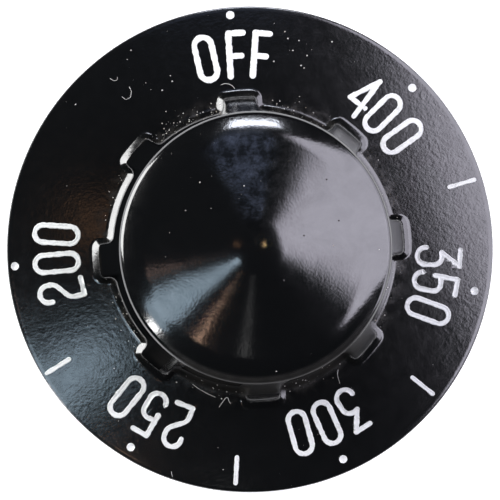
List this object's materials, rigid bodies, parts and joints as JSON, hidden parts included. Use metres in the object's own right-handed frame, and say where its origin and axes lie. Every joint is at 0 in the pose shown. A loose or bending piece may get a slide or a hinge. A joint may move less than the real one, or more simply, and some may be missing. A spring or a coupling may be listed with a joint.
{
  "type": "oven control knob",
  "caption": "Round black moulded dial knob with a sloping skirt for a white temperature scale, a raised ribbed grip with a shallow conical top, and a flatted shaft socket behind.",
  "frame": {"origin": "centre of the back rim, in the plane that the knob lies on", "axes": "+Z out of the dial's face along the knob's axis, +Y towards the OFF position of the scale"},
  "size_m": [0.0636, 0.0634, 0.0234],
  "materials": {
    "black_phenolic": "glossy black phenolic moulding with a slight orange peel",
    "spring_steel": "bare rolled spring strip",
    "scale_paint": "white paint wiped into the engraved scale"
  },
  "bodies": {
    "root": {"dial_body": "black_phenolic", "shaft_spring": "spring_steel"}
  },
  "joints": []
}
